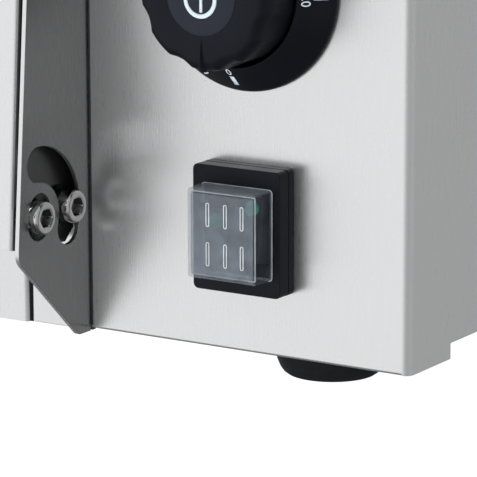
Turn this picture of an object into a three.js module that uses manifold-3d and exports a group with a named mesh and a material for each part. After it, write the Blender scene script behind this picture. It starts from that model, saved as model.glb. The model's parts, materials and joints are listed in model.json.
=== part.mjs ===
// Counter-top rotisserie oven: a folded stainless cabinet with a control column on the right,
// a drop-down glass door hung between two slotted cheek plates, a drip tray that slides out under
// the door, and a motor-driven spit inside the cooking chamber.
//
// Millimetres, +Z up, -Y towards the user, +X to the user's right. The working frame has X = 0 at
// the middle of the cabinet, Y = 0 on the control panel's front face and Z = 0 at the cabinet's
// bottom edge. The finished group is then moved so that its box stands centred on the origin.
import * as THREE from 'three';
import { mergeVertices } from 'three/addons/utils/BufferGeometryUtils.js';
import Module from 'manifold-3d';

const wasm = await Module();
wasm.setup();

const DEG = Math.PI / 180;

// ---- driving dimensions -------------------------------------------------------------------------
const WIDTH = 600;                // cabinet, outside
const DEPTH = 430;
const HEIGHT = 380;               // cabinet without its feet
const SHEET = 1.2;                // casing sheet
const LINER = 1.0;                // chamber and tray sheet
const FIT = 0.3;                  // gap between pieces that touch
const BEND = 2.9;                 // outer radius of the cabinet's vertical folds
const LID_DROP = 12;              // depth of the top cover's turned-down rim
const SETBACK = 1.5;              // how far edges at the back stay inside the cabinet's outline
const AIR_SLOT = { height: 4, pitch: 12 };

const CONTROL_WIDTH = 112.46;     // control column, measured on the front
const LEFT_STRIP = 22.94;         // front strip left of the door
const WRAP = 25;                  // how far the control panel folds back along the side
const SIDE_RECESS = 0.8;          // the right side panel sits in by this much
const SIDE_BOTTOM = 4.3;          // lower edge of the side and rear panels
const PAN_BOTTOM = 4.6;           // underside of the base pan, just above that edge

const CHEEK = 1.5;                // hinge cheek thickness
const CHEEK_GAP = 3.54;           // between a cheek and the door's edge
const CHEEK_LEAN = 4.61 * DEG;    // how far the cheek's front edge leans back
const CHEEK_TOP = 366;
const CHEEK_TAB = 18;             // depth of the cheek inside the cabinet

const LEAN = 4.1 * DEG;           // how far the closed door leans back
const PIVOT = { y: -26.5, z: 39.6 };
const GUIDE_RADIUS = 16.1;        // pivot screw to guide screw
const GUIDE_REST = 2.5 * DEG;     // guide screw above the horizontal with the door closed

const DOOR_FRONT = -5.9;          // door faces and edges, measured from the pivot, square to the door
const DOOR_BACK = 25.1;
const DOOR_BOTTOM = -10.2;
const DOOR_TOP = 318.6;
const WINDOW = { half: 179, bottom: 38, top: 262 };
const HANDLE = { z: 290, reach: 40, radius: 7, half: 190, post: 170, postRadius: 6 };

const FRAME_FACE = -0.6;          // front face of the chamber's front frame, below its fold
const FRAME_FOLD = 28;            // height at which the front frame starts to lean back
const MOUTH = { half: 200, bottom: 46, top: 346 };
const CHAMBER = { half: 210, floor: 34, ceiling: 352, back: 372 };
const TRAY = { half: 209.52, top: 26.5, gap: 1.04, back: 350, wall: 14 };

const SPIT = { y: 205, z: 195, bar: 8 };
const FORK = { x: 135, hub: 9, hubHalf: 7, reach: 38, bar: 4, prong: 70, prongRadius: 3, tipRadius: 0.8 };
const MOTOR = { half: 32, gearDepth: 28, radius: 22, depth: 66 };
const ELEMENT = { radius: 3.5, pitch: 50, firstY: 110, upperZ: 332, lowerZ: 52 };

const CONTROL_X = 244.9;          // centre line of the knobs
const CONTROLS = [
  { name: 'timer', z: 110.5, bodyDepth: 34, bodyHalf: 24 },
  { name: 'thermostat', z: 205.5, bodyDepth: 42, bodyHalf: 19 },
  { name: 'selector', z: 300.5, bodyDepth: 28, bodyHalf: 21 },
];
const SHAFT = { radius: 3, hole: 5.5, tip: -15 };
const SWITCH = { x: 245.7, z: 38.7, width: 30.4, height: 36.9, depth: 8, corner: 2.6 };
const SWITCH_NECK = { halfWidth: 13.2, halfHeight: 16.4, back: 26, play: 0.4 };   // behind the panel
const SWITCH_WELL = { halfWidth: 11.2, halfHeight: 13.2, back: 8 };               // holds the rockers
const COVER = { dx: 0.55, width: 24.6, height: 27.5, reach: 9, corner: 1.2, wall: 0.9 };
const ROCKER = { offset: 5.15, tilt: 11 * DEG };   // two rockers side by side, resting opposite ways

const FOOT = { x: 260.1, front: 23.2, back: 400, height: 9, bottomRadius: 13.9, topRadius: 19.8 };

const cheekRight = WIDTH / 2 - CONTROL_WIDTH;            // outer faces of the two cheeks
const cheekLeft = -WIDTH / 2 + LEFT_STRIP;
const doorX = (cheekRight + cheekLeft) / 2;
const doorHalf = (cheekRight - cheekLeft) / 2 - CHEEK - CHEEK_GAP;
const panelTop = HEIGHT - LID_DROP - FIT;                // upper edge of the upright panels

// ---- materials ----------------------------------------------------------------------------------
const look = (color, roughness, metalness, extra = {}) =>
  () => new THREE.MeshStandardMaterial({ color, roughness, metalness, ...extra });
const steel = look(0xc9cacb, 0.35, 1);
const liner = look(0xa9abad, 0.45, 1);
const bright = look(0xe2e3e4, 0.15, 1);
const element = look(0x55504c, 0.55, 0.8);
const plastic = look(0x1b1c20, 0.45, 0);
const inner = look(0x2c2d31, 0.6, 0);
const rubber = look(0x141416, 0.8, 0);
const glass = look(0xbfd0d2, 0.05, 0, { transparent: true, opacity: 0.35 });
const silicone = look(0xb7bcc0, 0.3, 0, { transparent: true, opacity: 0.5 });
const zinc = look(0x9da0a3, 0.5, 0.9);

// ---- shape helpers ------------------------------------------------------------------------------
/** Signed volume of an indexed geometry; positive when its faces point outwards. */
function signedVolume(geometry) {
  const [a, b, c] = [new THREE.Vector3(), new THREE.Vector3(), new THREE.Vector3()];
  const { position } = geometry.attributes;
  let sum = 0;
  for (let i = 0; i < geometry.index.count; i += 3) {
    a.fromBufferAttribute(position, geometry.index.getX(i));
    b.fromBufferAttribute(position, geometry.index.getX(i + 1));
    c.fromBufferAttribute(position, geometry.index.getX(i + 2));
    sum += a.dot(b.cross(c)) / 6;
  }
  return sum;
}

/** Geometry with shared vertices merged and faces pointing outwards. */
function closed(geometry) {
  const bare = geometry.clone();
  bare.deleteAttribute('normal');
  bare.deleteAttribute('uv');
  const merged = mergeVertices(bare);
  if (signedVolume(merged) < 0) merged.index.array.reverse();
  return merged;
}

function toSolid(geometry) {
  const merged = closed(geometry);
  return new wasm.Manifold(new wasm.Mesh({
    numProp: 3,
    vertProperties: new Float32Array(merged.attributes.position.array),
    triVerts: new Uint32Array(merged.index.array),
  }));
}

function toGeometry(solid) {
  const mesh = solid.getMesh();
  const geometry = new THREE.BufferGeometry();
  geometry.setAttribute('position', new THREE.BufferAttribute(mesh.vertProperties, 3));
  geometry.setIndex(new THREE.BufferAttribute(mesh.triVerts, 1));
  geometry.computeVertexNormals();
  return geometry;
}

const join = (...pieces) => toGeometry(pieces.map(toSolid).reduce((a, b) => a.add(b)));
const cut = (piece, ...tools) =>
  toGeometry(tools.map(toSolid).reduce((a, b) => a.subtract(b), toSolid(piece)));

/** Box between two corners, each pair given as low, high. */
function box([x0, x1], [y0, y1], [z0, z1]) {
  return new THREE.BoxGeometry(x1 - x0, y1 - y0, z1 - z0)
    .translate((x0 + x1) / 2, (y0 + y1) / 2, (z0 + z1) / 2);
}

/** Outline extruded along an axis: (y, z) along x, (x, z) along y, (x, y) along z. */
function prism(axis, outline, [from, to], curveSegments = 4) {
  const shape = outline instanceof THREE.Shape
    ? outline
    : new THREE.Shape(outline.map(([u, v]) => new THREE.Vector2(u, v)));
  const geometry = new THREE.ExtrudeGeometry(shape, { depth: to - from, bevelEnabled: false, curveSegments });
  const [ex, ey, ez] = [new THREE.Vector3(1, 0, 0), new THREE.Vector3(0, 1, 0), new THREE.Vector3(0, 0, 1)];
  const frame = new THREE.Matrix4();
  if (axis === 'x') return geometry.applyMatrix4(frame.makeBasis(ey, ez, ex)).translate(from, 0, 0);
  if (axis === 'y') return geometry.applyMatrix4(frame.makeBasis(ex, ez, ey.negate())).translate(0, to, 0);
  return geometry.translate(0, 0, from);
}

/** Cylinder or cone frustum along an axis through the point (u, v) of the other two axes. */
function rod(axis, radius, [from, to], [u, v], { endRadius = radius, sides = 20 } = {}) {
  const geometry = new THREE.CylinderGeometry(endRadius, radius, to - from, sides);
  const middle = (from + to) / 2;
  if (axis === 'x') return geometry.rotateZ(-Math.PI / 2).translate(middle, u, v);
  if (axis === 'y') return geometry.translate(u, middle, v);
  return geometry.rotateX(Math.PI / 2).translate(u, v, middle);
}

/** Closed [radius, y] profile turned about the Y axis through (x, z). */
function turned(profile, [x, z], segments = 36) {
  const loop = [...profile, profile[0]].map(([r, y]) => new THREE.Vector2(r, y));
  return new THREE.LatheGeometry(loop, segments).translate(x, 0, z);
}

/** Rectangle about (u, v) with rounded corners. */
function roundedRectangle(width, height, radius, [u, v] = [0, 0]) {
  const [l, r, b, t] = [u - width / 2, u + width / 2, v - height / 2, v + height / 2];
  const shape = new THREE.Shape().moveTo(l + radius, b).lineTo(r - radius, b);
  shape.absarc(r - radius, b + radius, radius, -Math.PI / 2, 0);
  shape.absarc(r - radius, t - radius, radius, 0, Math.PI / 2);
  shape.absarc(l + radius, t - radius, radius, Math.PI / 2, Math.PI);
  shape.absarc(l + radius, b + radius, radius, Math.PI, 1.5 * Math.PI);
  return shape;
}

const oven = new THREE.Group();

/** Add one named piece to the oven, or to a group that stands in it. */
function part(name, geometry, material, parent = oven) {
  const mesh = new THREE.Mesh(closed(geometry), material());
  mesh.name = name;
  parent.add(mesh);
}

// ---- cabinet ------------------------------------------------------------------------------------
/** Slots for cooling air, cut through a panel, one above the other from firstZ up. */
function airSlots(xs, ys, firstZ, count) {
  const { height, pitch } = AIR_SLOT;
  return Array.from({ length: count }, (_, i) =>
    box(xs, ys, [firstZ + i * pitch, firstZ + i * pitch + height]));
}

function basePan() {
  const [front, back] = [2, DEPTH - SHEET - SETBACK];
  const flange = 20;
  const edge = WIDTH / 2 - SIDE_RECESS - SHEET - FIT;       // just inside the side panels
  const floor = [PAN_BOTTOM, PAN_BOTTOM + SHEET];
  const up = [PAN_BOTTOM, PAN_BOTTOM + flange];
  return join(
    box([-edge, edge], [front, back], floor),
    box([-edge, -edge + SHEET], [WRAP + FIT, back], up),
    box([edge - SHEET, edge], [WRAP + FIT, back], up),
    box([-edge, edge], [back - SHEET, back], up),
  );
}

/** Front sheet folded back along one side of the cabinet; side is 1 for right, -1 for left. */
function foldedCorner(side, inside, wrapDepth) {
  const [outer, thin] = [WIDTH / 2, BEND - SHEET];
  const shape = new THREE.Shape().moveTo(inside, 0).lineTo(outer - BEND, 0);
  shape.absarc(outer - BEND, BEND, BEND, -Math.PI / 2, 0);
  shape.lineTo(outer, wrapDepth).lineTo(outer - SHEET, wrapDepth).lineTo(outer - SHEET, BEND);
  shape.absarc(outer - BEND, BEND, thin, 0, -Math.PI / 2, true);
  shape.lineTo(inside, SHEET);
  const sheet = prism('z', shape, [0, panelTop], 5);
  return side > 0 ? sheet : closed(sheet).scale(-1, 1, 1);
}

function controlPanel() {
  const through = [-5, 5];
  const shaftHoles = CONTROLS.map(({ z }) => rod('y', SHAFT.hole, through, [CONTROL_X, z]));
  const halfWidth = SWITCH_NECK.halfWidth + SWITCH_NECK.play;
  const halfHeight = SWITCH_NECK.halfHeight + SWITCH_NECK.play;
  const switchHole = box([SWITCH.x - halfWidth, SWITCH.x + halfWidth], through,
    [SWITCH.z - halfHeight, SWITCH.z + halfHeight]);
  return cut(foldedCorner(1, cheekRight + FIT, WRAP), ...shaftHoles, switchHole);
}

/** Y of the front frame's outer face at height z. */
const frameFace = (z) => FRAME_FACE + Math.max(0, z - FRAME_FOLD) * Math.tan(LEAN);

function frontFrame() {
  const [bottom, top] = [-0.6, 378];
  const sheet = prism('x', [
    [frameFace(bottom), bottom], [frameFace(bottom) + LINER, bottom],
    [frameFace(FRAME_FOLD) + LINER, FRAME_FOLD], [frameFace(top) + LINER, top],
    [frameFace(top), top], [frameFace(FRAME_FOLD), FRAME_FOLD],
  ], [cheekLeft + CHEEK + FIT, cheekRight - CHEEK - FIT]);
  const trayHalf = TRAY.half + TRAY.gap;
  return cut(
    sheet,
    box([doorX - MOUTH.half, doorX + MOUTH.half], [-10, 60], [MOUTH.bottom, MOUTH.top]),
    box([doorX - trayHalf, doorX + trayHalf], [-10, 60], [-5, TRAY.top + 0.8]),
  );
}

function rightSidePanel() {
  const outer = WIDTH / 2 - SIDE_RECESS;
  const panel = box([outer - SHEET, outer], [WRAP + FIT, DEPTH - SETBACK], [SIDE_BOTTOM, panelTop]);
  return cut(panel, ...airSlots([outer - 5, outer + 5], [330, 390], 60, 6));
}

function topCover() {
  const rim = roundedRectangle(WIDTH, DEPTH, BEND, [0, DEPTH / 2]);
  const hollow = roundedRectangle(WIDTH - 2 * SHEET, DEPTH - 2 * SHEET, BEND - SHEET, [0, DEPTH / 2]);
  return cut(
    prism('z', rim, [HEIGHT - LID_DROP, HEIGHT]),
    prism('z', hollow, [HEIGHT - LID_DROP - 1, HEIGHT - SHEET]),
  );
}

const INLET = { x: 245, z: 52, width: 30, height: 24, depth: 26, play: 1 };
const FLANGE = { halfWidth: 25, halfHeight: 15, front: DEPTH + FIT, back: DEPTH + 3 };

function rearPanel() {
  const sheet = box([-WIDTH / 2, WIDTH / 2], [DEPTH - SHEET, DEPTH], [SIDE_BOTTOM, panelTop]);
  const through = [DEPTH - 5, DEPTH + 5];
  const cutout = box(
    [INLET.x - INLET.width / 2 - INLET.play, INLET.x + INLET.width / 2 + INLET.play], through,
    [INLET.z - INLET.height / 2 - INLET.play, INLET.z + INLET.height / 2 + INLET.play],
  );
  return cut(
    sheet, cutout,
    ...airSlots([190, 270], through, 220, 8),
    ...airSlots([-220, -140], through, 280, 5),
    ...airSlots([-60, 20], through, 280, 5),
  );
}

/** Stadium slot about (y, z), its long axis turned from vertical by tilt. */
function ovalSlot([y, z], radius, halfLength, tilt) {
  const shape = new THREE.Shape();
  const [dy, dz] = [Math.sin(tilt) * halfLength, Math.cos(tilt) * halfLength];
  shape.absarc(y + dy, z + dz, radius, -tilt, Math.PI - tilt);
  shape.absarc(y - dy, z - dz, radius, Math.PI - tilt, 2 * Math.PI - tilt);
  return shape;
}

/** Slot along an arc about the pivot, with round ends. */
function arcSlot(radius, half, fromAngle, toAngle) {
  const at = (angle) => [PIVOT.y + radius * Math.cos(angle), PIVOT.z + radius * Math.sin(angle)];
  const shape = new THREE.Shape();
  shape.absarc(PIVOT.y, PIVOT.z, radius + half, fromAngle, toAngle);
  shape.absarc(...at(toAngle), half, toAngle, toAngle + Math.PI);
  shape.absarc(PIVOT.y, PIVOT.z, radius - half, toAngle, fromAngle, true);
  shape.absarc(...at(fromAngle), half, fromAngle + Math.PI, fromAngle + 2 * Math.PI);
  return shape;
}

/** Upright plate beside the door, with the pivot's oval slot and the guide screw's arc slot. */
function hingeCheek(outerFace) {
  const nose = { y: -36.84, z: 31.6 };                    // where the leaning front edge starts
  const topFront = nose.y + (CHEEK_TOP - nose.z) * Math.tan(CHEEK_LEAN);
  const outline = new THREE.Shape();
  outline.moveTo(-FIT, -0.85).lineTo(-FIT, 8).lineTo(CHEEK_TAB, 8).lineTo(CHEEK_TAB, CHEEK_TOP - 20);
  outline.lineTo(-FIT, CHEEK_TOP - 20).lineTo(-FIT, CHEEK_TOP).lineTo(topFront + 5, CHEEK_TOP);
  outline.quadraticCurveTo(topFront, CHEEK_TOP, topFront - 0.4, CHEEK_TOP - 5).lineTo(nose.y, nose.z);
  outline.quadraticCurveTo(-37.3, 27.9, -35.4, 26.1).lineTo(-7.75, 0.1);
  outline.quadraticCurveTo(-6.7, -0.85, -5.4, -0.85);
  const slots = [
    ovalSlot([-26.2, 39.6], 5.45, 1.8, 6 * DEG),
    arcSlot(16, 5.5, -20 * DEG, 90 * DEG),
  ].map((slot) => prism('x', slot, [outerFace - 5, outerFace + 5], 8));
  return cut(prism('x', outline, [outerFace - CHEEK / 2, outerFace + CHEEK / 2]), ...slots);
}

part('base_pan', basePan(), zinc);
part('control_panel', controlPanel(), steel);
part('front_frame', frontFrame(), steel);
part('right_side_panel', rightSidePanel(), steel);
part('left_side_panel', foldedCorner(-1, WIDTH / 2 - LEFT_STRIP + FIT, DEPTH - SETBACK), steel);
part('top_cover', topCover(), steel);
part('rear_panel', rearPanel(), steel);
part('hinge_cheek_right', hingeCheek(cheekRight - CHEEK / 2), steel);
part('hinge_cheek_left', hingeCheek(cheekLeft + CHEEK / 2), steel);

for (const [end, y] of [['front', FOOT.front], ['rear', FOOT.back]]) {
  for (const [side, x] of [['left', -FOOT.x], ['right', FOOT.x]]) {
    const shape = { endRadius: FOOT.topRadius, sides: 24 };
    part(`foot_${end}_${side}`, rod('z', FOOT.bottomRadius, [-FOOT.height, PAN_BOTTOM - FIT], [x, y], shape),
      rubber);
  }
}

// ---- cooking chamber ----------------------------------------------------------------------------
function cavityWrapper() {
  const { half, floor, ceiling, back } = CHAMBER;
  const front = (z) => frameFace(z) + LINER + 0.6;
  const profile = [
    [front(floor), floor - LINER], [back + LINER, floor - LINER], [back + LINER, ceiling + LINER],
    [front(ceiling), ceiling + LINER], [front(ceiling), ceiling], [back, ceiling],
    [back, floor], [front(floor), floor],
  ];
  const drain = box([doorX - 190, doorX + 190], [30, 345], [floor - 5, floor + 5]);
  return cut(prism('x', profile, [doorX - half, doorX + half]), drain);
}

const elementLegs = [ELEMENT.firstY, ELEMENT.firstY + 3 * ELEMENT.pitch];

/** Side wall of the chamber, its front edge following the leaning front frame. */
function cavityWall(side, ...holes) {
  const [low, high] = [CHAMBER.floor - 3, CHAMBER.ceiling + 4];
  const front = (z) => frameFace(z) + LINER + 0.4;
  const inside = doorX + side * (CHAMBER.half + FIT);
  const outside = inside + side * LINER;
  const outline = [[front(low), low], [CHAMBER.back + 2, low], [CHAMBER.back + 2, high], [front(high), high]];
  const sheet = prism('x', outline, [Math.min(inside, outside), Math.max(inside, outside)]);
  return holes.length ? cut(sheet, ...holes) : sheet;
}

/** Sheathed heater bent into four parallel runs, its two ends passing through the right wall. */
function heater(z) {
  const { radius, pitch, firstY } = ELEMENT;
  const bend = pitch / 2;
  const [left, right, terminal] = [doorX - 165, doorX + 155, doorX + CHAMBER.half + 17];
  const path = new THREE.CurvePath();
  const at = (x, y) => new THREE.Vector3(x, y, z);
  const turn = (x, y, side) => {                          // half circle from y to y + pitch
    const reach = x + side * bend * 4 / 3;
    path.add(new THREE.CubicBezierCurve3(at(x, y), at(reach, y), at(reach, y + pitch), at(x, y + pitch)));
  };
  const run = (x0, x1, y) => path.add(new THREE.LineCurve3(at(x0, y), at(x1, y)));
  run(terminal, left, firstY);
  turn(left, firstY, -1);
  run(left, right, firstY + pitch);
  turn(right, firstY + pitch, 1);
  run(right, left, firstY + 2 * pitch);
  turn(left, firstY + 2 * pitch, -1);
  run(left, terminal, firstY + 3 * pitch);
  const section = new THREE.Shape();
  section.absarc(0, 0, radius, 0, 2 * Math.PI);
  return new THREE.ExtrudeGeometry(section, { steps: 76, curveSegments: 3, extrudePath: path });
}

const rightWall = doorX + CHAMBER.half;
const shaftHole = rod('x', 7, [rightWall - 5, rightWall + 5], [SPIT.y, SPIT.z]);
const elementHoles = [ELEMENT.upperZ, ELEMENT.lowerZ].flatMap((z) =>
  elementLegs.map((y) => rod('x', 5, [rightWall - 5, rightWall + 5], [y, z], { sides: 12 })));

part('cavity_wrapper', cavityWrapper(), liner);
part('cavity_left_wall', cavityWall(-1), liner);
part('cavity_right_wall', cavityWall(1, shaftHole, ...elementHoles), liner);
part('upper_heating_element', heater(ELEMENT.upperZ), element);
part('lower_heating_element', heater(ELEMENT.lowerZ), element);

// ---- spit and its drive -------------------------------------------------------------------------
const supportX = doorX - 199;                             // middle of the support's upright

function spitSupport() {
  const wall = doorX - CHAMBER.half + FIT;
  const upright = [supportX - 1.25, supportX + 1.25];
  const [shelf, width] = [SPIT.z - 30, 15];
  const across = [SPIT.y - width, SPIT.y + width];
  const notch = new THREE.Shape().moveTo(SPIT.y + 4.6, SPIT.z + 20).lineTo(SPIT.y - 4.6, SPIT.z + 20);
  notch.lineTo(SPIT.y - 4.6, SPIT.z).absarc(SPIT.y, SPIT.z, 4.6, Math.PI, 2 * Math.PI);
  const bracket = join(
    box(upright, across, [shelf, SPIT.z + 5]),
    box([wall, upright[1]], across, [shelf, shelf + 2]),
    box([wall, wall + 1.5], across, [shelf - 25, shelf + 2]),
  );
  return cut(bracket, prism('x', notch, [upright[0] - 2, upright[1] + 2]));
}

const coupling = { front: rightWall - 21, back: rightWall - 1.5, radius: 11, socket: 14 };
const motorFace = rightWall + 2.2;

function squareBar(half, [from, to]) {
  return box([from, to], [SPIT.y - half, SPIT.y + half], [SPIT.z - half, SPIT.z + half]);
}

function spitRod() {
  const axis = [SPIT.y, SPIT.z];
  return join(
    squareBar(SPIT.bar / 2, [supportX + 3, coupling.front + coupling.socket - FIT]),
    rod('x', 3.9, [supportX - 4, supportX + 4], axis),
    rod('x', 6.5, [supportX - 7, supportX - 3.5], axis),
  );
}

function driveCoupling() {
  const axis = [SPIT.y, SPIT.z];
  const head = join(
    rod('x', coupling.radius, [coupling.front, coupling.back], axis, { sides: 24 }),
    rod('x', 4.5, [coupling.back - 1, motorFace - FIT], axis),
  );
  return cut(head, squareBar(SPIT.bar / 2 + FIT, [coupling.front - 1, coupling.front + coupling.socket]));
}

/** Two-pronged meat fork; its prongs point along X in the given direction. */
function spitFork(x, direction) {
  const { hub, hubHalf, reach, bar, prong, prongRadius, tipRadius } = FORK;
  const span = (a, b) => [a, b].map((along) => x + along * direction).sort((p, q) => p - q);
  const prongs = [-reach, reach].map((dy) => {
    const [radius, endRadius] = direction > 0 ? [prongRadius, tipRadius] : [tipRadius, prongRadius];
    return rod('x', radius, span(0, prong), [SPIT.y + dy, SPIT.z], { endRadius, sides: 8 });
  });
  const body = join(
    rod('x', hub, span(-hubHalf, hubHalf), [SPIT.y, SPIT.z]),
    box(span(-2.5, 2.5), [SPIT.y - reach - bar, SPIT.y + reach + bar], [SPIT.z - bar, SPIT.z + bar]),
    ...prongs,
  );
  return cut(body, squareBar(SPIT.bar / 2 + FIT, [x - 20, x + 20]));
}

function forkScrew(x) {
  const base = SPIT.z + FORK.hub + FIT;
  return join(
    rod('z', 2.5, [base, base + 8], [x, SPIT.y], { sides: 12 }),
    rod('z', 6, [base + 7, base + 12], [x, SPIT.y], { sides: 12 }),
  );
}

function spitMotor() {
  const { half, gearDepth, radius, depth } = MOTOR;
  return join(
    box([motorFace, motorFace + gearDepth], [SPIT.y - half, SPIT.y + half], [SPIT.z - half, SPIT.z + half]),
    rod('x', radius, [motorFace + gearDepth - 1, motorFace + depth], [SPIT.y, SPIT.z], { sides: 24 }),
  );
}

const forks = [['left', doorX - FORK.x, 1], ['right', doorX + FORK.x, -1]];
part('spit_support', spitSupport(), liner);
part('spit_rod', spitRod(), bright);
part('drive_coupling', driveCoupling(), bright);
for (const [side, x, direction] of forks) {
  part(`spit_fork_${side}`, spitFork(x, direction), bright);
  part(`fork_screw_${side}`, forkScrew(x), bright);
}
part('spit_motor', spitMotor(), zinc);

// ---- door ---------------------------------------------------------------------------------------
// The door group's origin is the pivot line, so that the leaning door is drawn upright.
const door = new THREE.Group();
door.position.set(doorX, PIVOT.y, PIVOT.z);
door.rotation.x = -LEAN;
oven.add(door);

const guideAngle = GUIDE_REST + LEAN;                     // in the door's own frame
const screwSpots = [
  ['pivot', 0, 0],
  ['guide', GUIDE_RADIUS * Math.cos(guideAngle), GUIDE_RADIUS * Math.sin(guideAngle)],
];

function doorFrame() {
  const edge = 2;                                         // radius of the folded front edges
  const skin = new THREE.Shape().moveTo(doorHalf, DOOR_BACK).lineTo(-doorHalf, DOOR_BACK);
  skin.lineTo(-doorHalf, DOOR_FRONT + edge);
  skin.absarc(-doorHalf + edge, DOOR_FRONT + edge, edge, Math.PI, 1.5 * Math.PI);
  skin.absarc(doorHalf - edge, DOOR_FRONT + edge, edge, 1.5 * Math.PI, 2 * Math.PI);
  const pocket = box(
    [-doorHalf + SHEET, doorHalf - SHEET], [DOOR_FRONT + SHEET, DOOR_BACK + 5],
    [DOOR_BOTTOM + SHEET, DOOR_TOP - SHEET],
  );
  const window = box([-WINDOW.half, WINDOW.half], [DOOR_FRONT - 5, DOOR_FRONT + 5],
    [WINDOW.bottom, WINDOW.top]);
  const heel = prism('x', [[DOOR_BACK - 5, DOOR_BOTTOM - 1], [DOOR_BACK + 1, DOOR_BOTTOM - 1],
    [DOOR_BACK + 1, DOOR_BOTTOM + 5]], [-doorHalf - 1, doorHalf + 1]);
  const screwHoles = screwSpots.map(([, y, z]) => rod('x', 3.3, [-doorHalf - 1, doorHalf + 1], [y, z]));
  return cut(prism('z', skin, [DOOR_BOTTOM, DOOR_TOP], 3), pocket, window, heel, ...screwHoles);
}

/** Flat rectangular ring standing upright, between two half widths and two height pairs. */
function ring(outerHalf, innerHalf, ys, [z0, z1], [hole0, hole1]) {
  return cut(
    box([-outerHalf, outerHalf], ys, [z0, z1]),
    box([-innerHalf, innerHalf], [ys[0] - 1, ys[1] + 1], [hole0, hole1]),
  );
}

const panelY = DOOR_BACK - 3.8;                           // front of the door's inner panel
const clear = SHEET + FIT;
part('door_frame', doorFrame(), steel, door);
part('door_inner_panel', ring(doorHalf - clear, WINDOW.half - 4, [panelY, panelY + LINER],
  [DOOR_BOTTOM + clear, DOOR_TOP - clear], [WINDOW.bottom + 6, WINDOW.top - 6]), steel, door);
part('outer_glass', box([-WINDOW.half - 12, WINDOW.half + 12],
  [DOOR_FRONT + clear, DOOR_FRONT + clear + 4], [WINDOW.bottom - 10, WINDOW.top + 10]), glass, door);
part('inner_glass', box([-WINDOW.half - 6, WINDOW.half + 6],
  [panelY - FIT - 4, panelY - FIT], [WINDOW.bottom - 4, WINDOW.top + 4]), glass, door);
part('door_gasket', ring(MOUTH.half + 11, MOUTH.half + 4,
  [panelY + LINER + FIT, DOOR_BACK + 1.1], [-4, 314], [3, 307]), rubber, door);

const barY = DOOR_FRONT - HANDLE.reach;
part('handle_bar', rod('x', HANDLE.radius, [-HANDLE.half, HANDLE.half], [barY, HANDLE.z], { sides: 24 }),
  bright, door);

function handlePost(x) {
  const reach = [barY + HANDLE.radius + FIT, DOOR_FRONT - FIT];
  return rod('y', HANDLE.postRadius, reach, [x, HANDLE.z]);
}

/** Cap screw along X with a hexagon socket, its head outside the door's edge. */
function capScrew(side, y, z) {
  const [headBase, headFront, tip] = [doorHalf + 1.85, doorHalf + 7.85, doorHalf - 12];
  const span = (a, b) => [Math.min(side * a, side * b), Math.max(side * a, side * b)];
  const socket = rod('x', 5 / Math.sqrt(3), span(headFront - 3, headFront + 1), [y, z], { sides: 6 });
  const head = rod('x', 5, span(headBase, headFront), [y, z]);
  return cut(join(head, rod('x', 3, span(tip, headBase + 1), [y, z], { sides: 12 })), socket);
}

function washer(side, y, z) {
  const [a, b] = [side * (doorHalf + FIT), side * (doorHalf + 1.55)];
  const [from, to] = [Math.min(a, b), Math.max(a, b)];
  return cut(rod('x', 6, [from, to], [y, z]), rod('x', 3.3, [from - 1, to + 1], [y, z], { sides: 12 }));
}

for (const [side, sign] of [['left', -1], ['right', 1]]) {
  part(`handle_post_${side}`, handlePost(sign * HANDLE.post), plastic, door);
  for (const [job, y, z] of screwSpots) {
    part(`${job}_screw_${side}`, capScrew(sign, y, z), bright, door);
    part(`${job}_washer_${side}`, washer(sign, y, z), bright, door);
  }
}

// ---- drip tray ----------------------------------------------------------------------------------
const trayFront = -1.6;                                   // front face of the tray's upright

/** Open pan, its front wall behind the upright front sheet. */
function trayPan() {
  const [half, front, floor] = [TRAY.half - 4, trayFront + LINER / 2, PAN_BOTTOM + SHEET + FIT];
  const top = floor + TRAY.wall;
  return cut(
    box([doorX - half, doorX + half], [front, TRAY.back], [floor, top]),
    box([doorX - half + LINER, doorX + half - LINER], [front + LINER, TRAY.back - LINER],
      [floor + LINER, top + 1]),
  );
}

/** Front of the tray: a sheet with its side edges folded back. */
function trayUpright() {
  const { half, top } = TRAY;
  const [front, back, bend] = [trayFront, 1.4, 2];
  const shape = new THREE.Shape().moveTo(doorX - half, back).lineTo(doorX - half, front + bend);
  shape.absarc(doorX - half + bend, front + bend, bend, Math.PI, 1.5 * Math.PI);
  shape.absarc(doorX + half - bend, front + bend, bend, 1.5 * Math.PI, 2 * Math.PI);
  shape.lineTo(doorX + half, back).lineTo(doorX + half - LINER, back);
  shape.lineTo(doorX + half - LINER, front + bend);
  shape.absarc(doorX + half - bend, front + bend, bend - LINER, 0, -Math.PI / 2, true);
  shape.absarc(doorX - half + bend, front + bend, bend - LINER, 1.5 * Math.PI, Math.PI, true);
  shape.lineTo(doorX - half + LINER, back);
  return prism('z', shape, [-0.8, top], 3);
}

part('drip_tray', join(trayPan(), trayUpright()), steel);

// ---- controls -----------------------------------------------------------------------------------
const BEZEL = { base: 31.4, rim: 23.4, bore: 22.8, skirt: 2.6, height: 10.5 };
const KNOB = {
  radius: 22.2, lobes: 8, dip: 1.1, back: -2, shoulder: -22, front: -25.4, inset: 1.2,
  cap: 11.8, capFront: -25.8, bore: 3.3,
};
const POINTER = { half: 1.8, front: -26.9, back: -14, tip: 24.3, root: 12 };

/** Conical scale ring, wide on the panel and narrow towards the user. */
function bezel(z) {
  const profile = [
    [BEZEL.bore, -FIT], [BEZEL.base, -FIT], [BEZEL.base, -BEZEL.skirt],
    [BEZEL.rim, -BEZEL.height], [BEZEL.bore, -BEZEL.height],
  ];
  return turned(profile, [CONTROL_X, z]);
}

/** Fluted grip about (x, z), a lobe standing straight down and the radius dipping between lobes. */
function gripOutline([x, z], radius, points = 48) {
  return Array.from({ length: points }, (_, i) => {
    const angle = (i / points) * 2 * Math.PI;
    const r = radius - KNOB.dip * (0.5 - 0.5 * Math.cos(KNOB.lobes * angle));
    return [x + r * Math.cos(angle), z + r * Math.sin(angle)];
  });
}

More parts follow.
